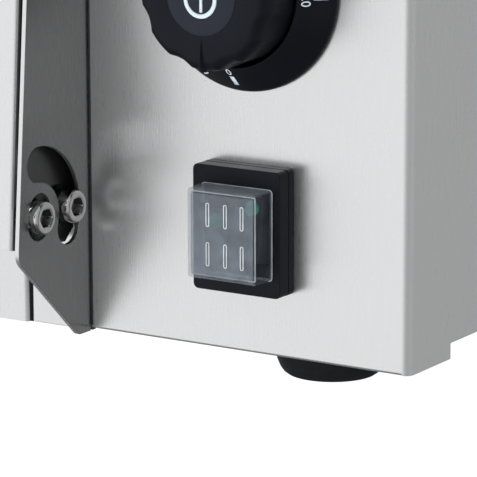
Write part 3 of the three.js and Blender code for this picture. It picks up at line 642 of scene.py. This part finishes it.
def cap_screw(node, side):
    """Socket-head cap screw along X; side is 1 where its head stands to the right. The faces inside its hex
    socket get a darker steel as painted shade.
    """
    low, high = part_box(node)
    head, shank, head_length = 5.0, 3.0, 6.0
    hexagon, recess, chamfer = 5.0 / math.sqrt(3), 3.2, 0.45
    front = high.x if side > 0 else low.x
    length = (high.x - low.x) / MM
    centre = Vector((front, (low.y + high.y) / 2, (low.z + high.z) / 2))

    def hexed(along, wider=0.0):
        def station(angle):
            turn = angle % (math.pi / 3) - math.pi / 6
            return hexagon * math.cos(math.pi / 6) / math.cos(turn) + wider, side * along
        return station

    def in_socket(face):
        depth = side * (front - face.center.x) / MM
        off_axis = math.hypot(face.center.y - centre.y, face.center.z - centre.z) / MM
        return off_axis < hexagon and 0.2 < depth < recess * 2

    rounds = [
        (0.01, -length), (shank - 0.5, -length), (shank, -length + 0.6), (shank, -head_length - 0.3),
        (shank + 0.4, -head_length), (head - 0.3, -head_length), (head, -head_length + 0.3),
        (head, -chamfer * 1.6), (head - chamfer * 0.35, -chamfer * 0.7),
        (head - chamfer, -chamfer * 0.15), (head - chamfer * 1.6, 0.0), (hexagon + 0.75, 0.0),
    ]
    profile = [(radius, side * along) for radius, along in rounds]
    profile += [hexed(-0.06, wider=0.28), hexed(-0.4), hexed(-recess), (0.01, side * (-recess - 1.2))]
    screw = dress(turned(node + "_fine", profile, centre, "X"), BRIGHT, node, replaces=[node])
    # faces inside the hex socket take the darker steel as painted shade
    partly(screw, SOCKET_SHADE, in_socket)


def hinge_screws():
    """Pivot and guide screws of the door, each with a black washer."""
    for side, sign in (("left", -1), ("right", 1)):
        for job in ("pivot", "guide"):
            cap_screw(f"{job}_screw_{side}", sign)
            refined(f"{job}_washer_{side}", OXIDE, 0.25)


# ---- tray -----------------------------------------------------------------------------------------
def tray():
    """Folded tray, its flat floor grained like the lid."""
    sheet = refined("drip_tray", STEEL, whole=False)
    partly(sheet, STEEL_TOP, lambda face: abs(face.normal.z) > FACING)


# ---- controls -------------------------------------------------------------------------------------
BEZEL = {"base": 30.6, "rim": 23.4, "bore": 22.8, "skirt": 2.6, "height": 10.5}
KNOB = {"radius": 22.2, "flute": 1.1, "half_flute": 10.8, "cap": 11.8, "face": 25.3, "cap_face": 25.6}
SWEEP = 270                                     # degrees of turn from the first mark to the last


def bezel(name):
    """Conical scale ring with a fine bead round its inner rim."""
    base, rim, bore = BEZEL["base"], BEZEL["rim"], BEZEL["bore"]
    skirt, height, hole = BEZEL["skirt"], BEZEL["height"], 6.5
    profile = [
        (bore, -0.3), (base + 0.2, -0.3), (base + 0.5, -0.6), (base + 0.55, -1.0), (base + 0.45, -1.6),
        (base + 0.25, -skirt + 0.4), (base, -skirt), (base - 0.35, -skirt - 0.4),
        (rim + 0.3, -height + 0.3), (rim + 0.05, -height + 0.08), (rim - 0.15, -height),
        (bore + 0.2, -height), (bore, -height + 0.2), (bore, -1.4), (hole, -1.4), (hole, -0.3),
    ]
    node = name + "_bezel"
    ring = turned(
        node + "_fine", profile + profile[:1], on_panel(node), sides=96, ends=(False, False))
    dress(ring, PLASTIC, node, replaces=[node])


def on_cone(centre, angle, along, across, lift=0.05):
    """Point on the scale ring: angle from straight down, clockwise; along runs outwards on the slope."""
    base, rim = BEZEL["base"], BEZEL["rim"]
    rise = BEZEL["height"] - BEZEL["skirt"]
    slope = math.hypot(base - rim, rise)
    out, forward = (base - rim) / slope, rise / slope
    radius = rim + along * out + lift * forward
    depth = -BEZEL["height"] + along * forward - lift * out
    turn = math.radians(angle) + across / radius
    return centre + Vector((-radius * math.sin(turn), depth, -radius * math.cos(turn))) * MM


def scale_number(name, text, centre, angle, along):
    """Digits printed on the ring, their tops outwards."""
    size, squeeze, strip = 4.1, 0.86, 0.6
    font = bpy.data.curves.new(name, "FONT")
    font.body = text
    font.size = size
    font.align_x = "CENTER"
    font.align_y = "CENTER"
    font.space_character = 1.03
    source = bpy.data.objects.new(name + "_source", font)
    bpy.context.scene.collection.objects.link(source)
    bpy.context.view_layer.update()
    flat = bpy.data.meshes.new_from_object(source.evaluated_get(bpy.context.evaluated_depsgraph_get()))
    bpy.data.objects.remove(source)
    bm = bmesh.new()
    bm.from_mesh(flat)
    bmesh.ops.remove_doubles(bm, verts=bm.verts, dist=0.001)
    reach = size * len(text)
    x = -reach / 2
    while x < reach / 2:
        parts = bm.verts[:] + bm.edges[:] + bm.faces[:]
        bmesh.ops.bisect_plane(bm, geom=parts, plane_co=(x, 0, 0), plane_no=(1, 0, 0))
        x += strip
    for vert in bm.verts:
        vert.co = on_cone(centre, angle, along + vert.co.y, vert.co.x * squeeze)
    obj = mesh_object(name, bm)
    return dress(obj, PRINT, body="cabinet")


def scale_tick(name, centre, angle, width, start, end):
    """Printed bar that lies along the ring's slope."""
    outline = [(-width / 2, start), (width / 2, start), (width / 2, end), (-width / 2, end)]
    bm = bmesh.new()
    for lift in (0.03, 0.06):
        bm.faces.new([bm.verts.new(on_cone(centre, angle, v, u, lift)) for u, v in outline])
    bmesh.ops.bridge_loops(bm, edges=bm.edges)
    return dress(mesh_object(name, bm), PRINT, body="cabinet")


def scale(name, labels, between=0):
    """Numbers and bars round a scale ring, with finer bars between the numbers."""
    centre = on_panel(name + "_bezel")
    start, drift = 1.6, 1.3                     # first mark past straight down, and creep up the slope
    digits, bar_foot, fine_foot, bar_head = 1.15, 3.6, 5.6, 7.9    # places along the slope
    thick, thin = 1.5, 0.6
    count = len(labels) - 1
    for i, text in enumerate(labels):
        angle = start + SWEEP * i / count
        creep = drift * i / count
        scale_number(f"{name}_number_{i}", text, centre, angle, digits + creep)
        scale_tick(f"{name}_bar_{i}", centre, angle, thick, bar_foot + creep, bar_head + creep)
    steps = between + 1
    for i in range(count * steps):
        if i % steps:
            angle = start + SWEEP * i / (count * steps)
            creep = drift * i / (count * steps)
            scale_tick(f"{name}_fine_bar_{i}", centre, angle, thin, fine_foot + creep, bar_head + creep)


def flute_depth(angle):
    """Share of a flute's depth at an angle from straight down: eight flutes, between the lobes."""
    from_middle = (math.degrees(angle) % 45) - 22.5
    return max(0.0, 1 - (from_middle / KNOB["half_flute"]) ** 2)


def knob(name):
    """Fluted knob with a rounded shoulder, a centre cap and a wedge that points down."""
    centre = on_panel(name + "_bezel")
    radius, cap, face, cap_face = KNOB["radius"], KNOB["cap"], KNOB["face"], KNOB["cap_face"]
    sides = 288
    stations = [
        (0.0, -2.0, 0.0), (radius - 1.0, -2.0, 0.0), (radius - 0.6, -2.5, 0.1), (radius - 0.4, -9.0, 0.25),
        (radius - 0.2, -13.0, 0.5), (radius, -17.0, 0.8), (radius, -20.0, 0.95),
        (radius - 0.05, -21.6, 1.0),
        (radius - 0.3, -22.8, 1.0), (radius - 0.75, -23.8, 1.0), (radius - 1.45, -24.6, 0.98),
        (radius - 2.3, -25.1, 0.85), (radius - 3.3, -face + 0.06, 0.6), (radius - 4.6, -face, 0.3),
        (radius - 6.5, -face, 0.0), (cap + 0.4, -face, 0.0), (cap, -face + 0.08, 0.0),
        (cap, -face + 0.08, 0.0), (cap - 0.3, -face - 0.06, 0.0), (cap - 1.2, -cap_face + 0.06, 0.0),
        (cap - 2.4, -cap_face, 0.0), (0.0, -cap_face, 0.0),
    ]
    rings = []
    for r, y, share in stations:
        ring = []
        for i in range(sides):
            angle = 2 * math.pi * i / sides
            reach = max(r - KNOB["flute"] * share * flute_depth(angle), 0.01)
            ring.append(centre + Vector((-reach * math.sin(angle), y, -reach * math.cos(angle))) * MM)
        rings.append(ring)
    node = name + "_knob"
    body = BODY_OF[node]
    grip_rows = 17                              # the next ring repeats the last one, for the cap
    grip = loft(node + "_fine", rings[:grip_rows])
    dress(grip, PLASTIC, node, replaces=[node])
    dress(loft(name + "_cap", rings[grip_rows:]), CAP, body=body)
    pointer(name, centre, body)
    return centre, body


def pointer(name, centre, body):
    """Narrow ridge from the cap to the rim, higher towards the rim, and its white tip."""
    stations = [
        (12.0, 0.2, 25.32, 25.1), (15.0, 0.5, 25.8, 25.1), (19.5, 0.9, 26.4, 24.8),
        (21.0, 1.0, 26.2, 23.0), (22.1, 1.1, 24.8, 20.0), (22.7, 1.1, 22.0, 18.0),
    ]
    rows = []
    for distance, half, front, back in stations:
        section = ((-half, back), (-half * 0.25, front - 0.1), (half * 0.25, front), (half, back))
        rows.append([centre + Vector((x, -y, -distance)) * MM for x, y in section])
    wedge = soften(loft(name + "_pointer", rows), 0.15, angle=25)
    dress(wedge, PLASTIC, body=body)
    mark = [(-0.5, 22.0), (0.5, 22.0), (0.5, 22.85), (-0.5, 22.85)]
    plate = slab(
        name + "_pointer_mark", mark, -22.8, -21.9, lambda x, y, z: centre + Vector((x, y, -z)) * MM)
    dress(soften(plate, 0.15), PRINT, body=body)


def icon_ring(name, centre, body, outer, line, offset=(0.0, 0.0)):
    """Printed ring on a cap."""
    y = -KNOB["cap_face"]
    shift = centre + Vector((offset[0], 0, offset[1])) * MM
    profile = [(outer - line, y + 0.1), (outer, y + 0.1), (outer, y - 0.06), (outer - line, y - 0.06)]
    ring = turned(name, profile + profile[:1], shift, ends=(False, False))
    dress(ring, PRINT, body=body)


def icon_stroke(name, centre, body, start, end, line):
    """Printed stroke on a cap from start to end, (x, z) in mm off its middle."""
    y = -KNOB["cap_face"]
    (x0, z0), (x1, z1) = start, end
    length = math.hypot(x1 - x0, z1 - z0)
    ux, uz = (x1 - x0) / length, (z1 - z0) / length
    outline = []
    for u, v in rounded_rectangle(length, line, line * 0.2, steps=2):
        outline.append(((x0 + x1) / 2 + u * ux - v * uz, (z0 + z1) / 2 + u * uz + v * ux))
    stroke = slab(name, outline, y + 0.1, y - 0.06, lambda a, b, c: centre + Vector((a, b, c)) * MM)
    dress(stroke, PRINT, body=body)


def controls():
    """Timer, thermostat and selector: scale rings, their printing, knobs and the icons on the caps."""
    for name in ("timer", "thermostat", "selector"):
        bezel(name)
    scale("timer", [str(minutes) for minutes in range(0, 121, 20)])
    scale("thermostat", [str(degrees) for degrees in range(0, 301, 50)], between=4)
    scale("selector", ["0", "1", "2", "3"])

    centre, body = knob("timer")
    icon_ring("timer_icon_ring", centre, body, 5.6, 1.25, offset=(0.0, -0.9))
    icon_stroke("timer_icon_long_hand", centre, body, (0.3, 0.2), (0.3, -4.75), 0.95)
    icon_stroke("timer_icon_short_hand", centre, body, (0.7, -0.2), (-2.6, -0.2), 0.95)

    centre, body = knob("thermostat")
    icon_ring("thermostat_icon_bulb", centre, body, 2.6, 1.1, offset=(0.0, -3.4))
    icon_stroke("thermostat_icon_stem", centre, body, (0.0, -0.8), (0.0, 6.0), 1.3)
    for i, z in enumerate((2.4, 4.0, 5.6)):
        icon_stroke(f"thermostat_icon_mark_{i}", centre, body, (1.4, z), (3.2, z), 0.7)

    centre, body = knob("selector")
    for i, z in enumerate((-4.0, 4.0)):
        icon_stroke(f"selector_icon_bar_{i}", centre, body, (-4.6, z), (4.6, z), 1.3)
    icon_ring("selector_icon_ring", centre, body, 2.4, 1.0)


# ---- switch ---------------------------------------------------------------------------------------
def switch_housing():
    """Moulded surround: a collar against the panel, a parting groove, then the well for the rockers."""
    centre = on_panel("switch_housing")
    width, height, corner = 30.4, 38.0, 1.7
    neck, well = (26.4, 32.8), (22.4, 26.4)
    flange = [
        (-0.3, 0.12), (-0.45, 0.0), (-2.9, 0.0), (-3.0, 0.25), (-3.3, 0.25), (-3.4, 0.05), (-7.8, 0.05),
        (-7.93, 0.1), (-8.0, 0.25),
    ]
    stations = [(neck[0], neck[1], 0.6, 26.0), (neck[0], neck[1], 0.6, -0.3)]
    stations += [(width - 2 * inset, height - 2 * inset, corner - inset * 0.6, y) for y, inset in flange]
    stations += [(well[0] + 0.8, well[1] + 0.8, 1.0, -8.0), (well[0], well[1], 0.8, -7.6),
                 (well[0], well[1], 0.8, 8.0)]
    rings = []
    for w, h, r, y in stations:
        rings.append([centre + Vector((u, y, v)) * MM for u, v in rounded_rectangle(w, h, r)])
    housing = soften(loft("switch_housing_fine", rings), 0.08, angle=50)
    dress(housing, PLASTIC, "switch_housing", replaces=["switch_housing"])


def rockers():
    """Two rockers that rest opposite ways, each with a green lens above its pivot."""
    tilt, lens_height, lens_radius, face = 11, 5.9, 2.15, 10.85
    for side, sign, aside in (("left", -1, 0.65), ("right", 1, 1.2)):
        node = f"rocker_{side}"
        refined(node, INNER, 0.55, segments=3)
        pivot = Vector(JOINT[f"rocker_{side}_tilt"]["pos_m"])
        profile = [(lens_radius + 0.35, 0.4), (lens_radius + 0.35, -0.1), (lens_radius, -0.35),
                   (lens_radius * 0.8, -0.6), (lens_radius * 0.45, -0.8), (0.01, -0.85)]
        lens = turned(f"{side}_lens", profile, Vector(), sides=48)
        turn = Matrix.Rotation(math.radians(-sign * tilt), 4, "X")
        offset = Vector((aside, -face, lens_height)) * MM
        place = Matrix.Translation(pivot) @ turn @ Matrix.Translation(offset)
        lens.data.transform(place)
        dress(lens, LENS, body=BODY_OF[node])


def hood():
    """Clear hood over the rockers: a thin shell with a darker right side as painted shade, near-white beads
    along its edges as painted highlights, and raised slots on its face whose near-white outlines are painted
    highlights.
    """
    low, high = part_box("switch_cover")
    width, height = (high.x - low.x) / MM, (high.z - low.z) / MM
    front, base = (low.y - CORNER.y) / MM, (high.y - CORNER.y) / MM
    wall, corner, draft = 0.9, 1.2, 0.3
    centre = on_panel("switch_cover")

    def ring(inset, y):
        points = rounded_rectangle(width - 2 * inset, height - 2 * inset, max(corner - inset, 0.3))
        return [centre + Vector((u, y, v)) * MM for u, v in points]

    stations = [(0.0, base), (draft, front + 0.6), (draft + 0.15, front + 0.25), (draft + 0.5, front)]
    inside = [(draft + wall + 0.5, front + wall), (draft + wall, front + wall + 0.5), (wall, base)]
    rings = [ring(inset, y) for inset, y in stations + inside]
    shell = loft("switch_cover_fine", rings + rings[:1], ends=(False, False))
    dress(shell, HOOD_TOP, "switch_cover", replaces=["switch_cover"])
    # the right-facing side walls take the darker silicone as painted shade
    partly(shell, HOOD_SHADE_SIDE, lambda face: abs(face.normal.x) > 0.5 and face.center.x > centre.x)
    edge = draft + wall + 0.5
    face = loft("switch_cover_face", [ring(edge, front), ring(edge, front + wall)])
    dress(face, HOOD, body="cabinet")
    # near-white bead round the front edge: painted highlight
    bead = pipe("switch_cover_front_highlight", ring(draft + 1.0, front + 1.1), 0.2, loop=True)
    dress(bead, HOOD_EDGE_HIGHLIGHT, body="cabinet")
    # base bead only along the right side and the top, a painted highlight
    rim = ring(0.1, base - 0.2)
    quarter = len(rim) // 4
    bead = pipe("switch_cover_base_highlight", rim[-quarter:] + rim[:2 * quarter - 2], 0.12)
    dress(bead, HOOD_EDGE_HIGHLIGHT, body="cabinet")
    slots(centre, front)


def slots(centre, front):
    """Six raised stadium outlines on the hood's face, two rows of three, their near-white colour a painted
    highlight on the slots' edges.
    """
    half_width, half_height, line = 0.48, 3.5, 0.13
    for row, z in enumerate((6.05, -5.75)):
        for column, x in enumerate((-4.75, 1.35, 7.1)):
            points = []
            for end, start in ((1, 0), (-1, 180)):
                for step in range(9):
                    angle = math.radians(start + 180 * step / 8)
                    points.append(centre + Vector((
                        x + half_width * math.cos(angle), front - 0.02,
                        z + end * (half_height - half_width) + half_width * math.sin(angle))) * MM)
            slot = pipe(f"switch_cover_slot_{row}_{column}", points, line, loop=True)
            # outline coloured near white as a painted highlight
            dress(slot, HOOD_RIB_HIGHLIGHT, body="cabinet")


def inlet():
    """Appliance inlet with bright blades in its recess."""
    refined("power_inlet", PLASTIC, 0.6, segments=3)
    low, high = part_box("power_inlet")
    middle = (low + high) / 2
    width, height, corner, root, tip = 2.3, 4.3, 0.35, -17.5, -3.9
    for i, (dx, dz) in enumerate(((-7, -2), (0, 2.5), (7, -2))):
        outline = rounded_rectangle(width, height, corner, steps=3)
        blade = slab(
            f"inlet_blade_{i}", outline, root, tip,
            lambda x, y, z: Vector((middle.x, high.y, middle.z)) + Vector((x + dx, y, z + dz)) * MM)
        dress(soften(blade, 0.2), BRIGHT, body="cabinet")


# ---- camera, light and set ------------------------------------------------------------------------
def camera():
    """Long lens, a little above the oven and well round to its right."""
    azimuth, elevation, roll, distance = 32.4977, 12.399, -0.142, 957.4
    target = CORNER + Vector((-58.563, 0, 34.484)) * MM
    a, e = math.radians(azimuth), math.radians(elevation)
    forward = Vector((-math.sin(a) * math.cos(e), math.cos(a) * math.cos(e), -math.sin(e)))
    right = Vector((math.cos(a), math.sin(a), 0))
    up = right.cross(forward)
    turn = math.radians(roll)
    level = right * math.cos(turn) + up * math.sin(turn)
    upright = up * math.cos(turn) - right * math.sin(turn)
    data = bpy.data.cameras.new("camera")
    data.sensor_width = 36
    data.lens = 242.83
    data.clip_start, data.clip_end = 0.05, 50
    obj = bpy.data.objects.new("camera", data)
    bpy.context.scene.collection.objects.link(obj)
    placed = Matrix((level, upright, -forward)).transposed().to_4x4()
    placed.translation = target - forward * distance * MM
    obj.matrix_world = placed
    bpy.context.scene.camera = obj


# Light level by bearing, in degrees from straight ahead of the oven towards its right, and by height
BEARINGS = [
    (-180, 0.4), (-120, 0.75), (-70, 0.98), (-14, 0.98), (12, 0.62), (30, 0.42), (60, 0.4), (90, 0.46),
    (130, 0.4), (180, 0.4),
]
HEIGHTS = [(-1.0, 0.12), (-0.6, 0.25), (-0.4, 0.8), (-0.28, 0.97), (0.5, 0.98), (1.0, 0.9)]


def studio():
    """Soft studio: bright to the left of the oven, darker where the camera stands, white behind all."""
    world = bpy.data.worlds.new("studio")
    world.use_nodes = True
    bpy.context.scene.world = world
    tree = world.node_tree
    tree.nodes.clear()

    def node(kind, inputs, **settings):
        return add_node(tree, kind, inputs, **settings)

    def share(value, reach):
        """Value that runs from -reach to reach, as a share of that span."""
        return node("ShaderNodeMapRange", {
            "Value": value, "From Min": -reach, "From Max": reach, "To Min": 0.0, "To Max": 1.0,
        }).outputs["Result"]

    direction = node("ShaderNodeTexCoord", {}).outputs["Generated"]
    split = node("ShaderNodeSeparateXYZ", {"Vector": direction})
    ahead = node("ShaderNodeMath", {0: split.outputs["Y"], 1: -1.0}, operation="MULTIPLY").outputs[0]
    angle = node("ShaderNodeMath", {0: split.outputs["X"], 1: ahead}, operation="ARCTAN2").outputs[0]
    around = add_ramp(tree, share(angle, math.pi), [
        ((degrees + 180) / 360, grey(level)) for degrees, level in BEARINGS])
    up = add_ramp(tree, share(split.outputs["Z"], 1.0), [
        ((z + 1) / 2, grey(level)) for z, level in HEIGHTS])
    first, second = 6, 7                        # the mix node's two colour sockets
    product = node("ShaderNodeMix", {"Factor": 1.0, first: around, second: up},
                   data_type="RGBA", blend_type="MULTIPLY")
    lit = node("ShaderNodeBackground", {"Color": product.outputs[2], "Strength": 1.0})
    white = node("ShaderNodeBackground", {"Color": (1, 1, 1, 1), "Strength": 1.0})
    seen = node("ShaderNodeLightPath", {}).outputs["Is Camera Ray"]
    mixed = node("ShaderNodeMixShader", {0: seen, 1: lit.outputs[0], 2: white.outputs[0]})
    node("ShaderNodeOutputWorld", {"Surface": mixed.outputs[0]})
    bpy.context.scene.view_settings.view_transform = "Standard"


def soft_light(name, place, target, size, watts):
    """Soft box that lights the oven but never shows itself."""
    data = bpy.data.lights.new(name, "AREA")
    data.shape = "SQUARE"
    data.size = size
    data.energy = watts
    obj = bpy.data.objects.new(name, data)
    bpy.context.scene.collection.objects.link(obj)
    obj.location = place
    obj.rotation_euler = (Vector(target) - Vector(place)).to_track_quat("-Z", "Y").to_euler()
    obj.visible_camera = False


def floor():
    """Plain pale floor, left out of reflections so that the steel shows the studio."""
    reach = 30.0
    bm = bmesh.new()
    bmesh.ops.create_grid(bm, x_segments=1, y_segments=1, size=reach)
    obj = mesh_object("floor", bm)
    finish = Finish("pale_floor", Emission_Color=(1, 1, 1, 1), Emission_Strength=1.0)
    tone = finish.noise((0.6, 0.6, 0.6), detail=1.0)
    finish.paint(tone, grey(0.93), grey(0.95))
    finish.vary("Roughness", tone, 0.85, 0.95)
    obj.data.materials.append(finish.material)
    obj.visible_glossy = False


def flag():
    """Narrow black flag that only reflections see, off the right cheek's front edge."""
    low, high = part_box("hinge_cheek_right")
    reach, bottom = 6.5 * MM, low.z + 42 * MM
    bm = bmesh.new()
    corners = [Vector((high.x, y, z)) for y, z in (
        (low.y, bottom), (low.y - reach, bottom), (low.y - reach, high.z), (low.y, high.z))]
    bm.faces.new([bm.verts.new(corner) for corner in corners])
    obj = mesh_object("flag", bm)
    obj.data.materials.append(moulded("black_cloth", (0.01, 0.01, 0.01), (0.02, 0.02, 0.02), (0.9, 1.0)))
    for seen in ("camera", "diffuse", "transmission", "volume_scatter", "shadow"):
        setattr(obj, "visible_" + seen, False)


camera()
studio()
floor()
flag()
soft_light("key", (-1.2, -1.6, 1.5), (0, -0.1, 0.15), 1.2, 14)

cabinet()
cheek_seals()
cheek_seam()
tray_seals()
panel_screws()
for end in ("front", "rear"):
    for side in ("left", "right"):
        foot(f"foot_{end}_{side}")
chamber()
heating_element("upper_heating_element")
heating_element("lower_heating_element")
spit()
door()
handle()
hinge_screws()
tray()
controls()
switch_housing()
rockers()
hood()
inlet()
